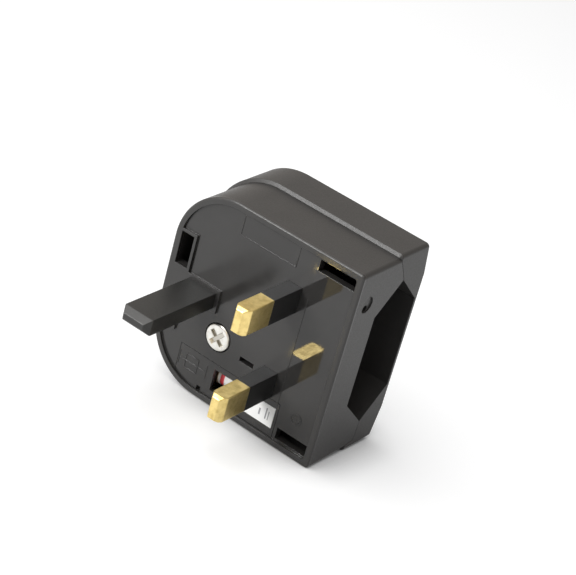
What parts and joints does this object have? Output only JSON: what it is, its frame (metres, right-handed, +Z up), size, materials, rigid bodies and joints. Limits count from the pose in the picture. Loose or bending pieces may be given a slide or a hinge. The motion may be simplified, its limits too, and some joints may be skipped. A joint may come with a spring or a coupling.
{
  "type": "plug adapter",
  "caption": "Black fused plug adapter with rectangular plug pins on one face and a six-sided bay at one end that takes a flat two-pin plug.",
  "frame": {"origin": "on the plane of the pin face's rim, midway between the live and neutral pins", "axes": "+X towards the end with the plug bay, +Y from the pin face into the body, +Z up, towards the neutral pin; the adapter lies on its live side"},
  "size_m": [0.0496, 0.0503, 0.0518],
  "materials": {
    "housing_plastic": "satin black, finely textured sides and a polished pin face",
    "moulded_pin": "satin black",
    "sleeve_plastic": "glossy black",
    "socket_plastic": "matt black",
    "pin_brass": "machined, lightly brushed",
    "contact_brass": "stamped strip",
    "fuse_metal": "dull plated caps",
    "fuse_ceramic": "matt white with a red ring",
    "label_white": "smooth white",
    "screw_steel": "bright zinc plated"
  },
  "bodies": {
    "root": {"base_housing": "housing_plastic", "rear_cover": "housing_plastic", "fuse_cover": "housing_plastic", "earth_pin": "moulded_pin", "live_pin": "pin_brass", "neutral_pin": "pin_brass", "live_pin_sleeve": "sleeve_plastic", "neutral_pin_sleeve": "sleeve_plastic", "rating_label": "label_white", "fuse_body": "fuse_ceramic", "fuse_cap_load": "fuse_metal", "fuse_cap_line": "fuse_metal", "fuse_clip_load": "contact_brass", "fuse_clip_line": "contact_brass", "live_strap": "contact_brass", "load_strap": "contact_brass", "neutral_strap": "contact_brass", "live_socket": "contact_brass", "neutral_socket": "contact_brass", "socket_face": "socket_plastic", "cover_screw": "screw_steel", "screw_insert": "contact_brass"}
  },
  "joints": []
}
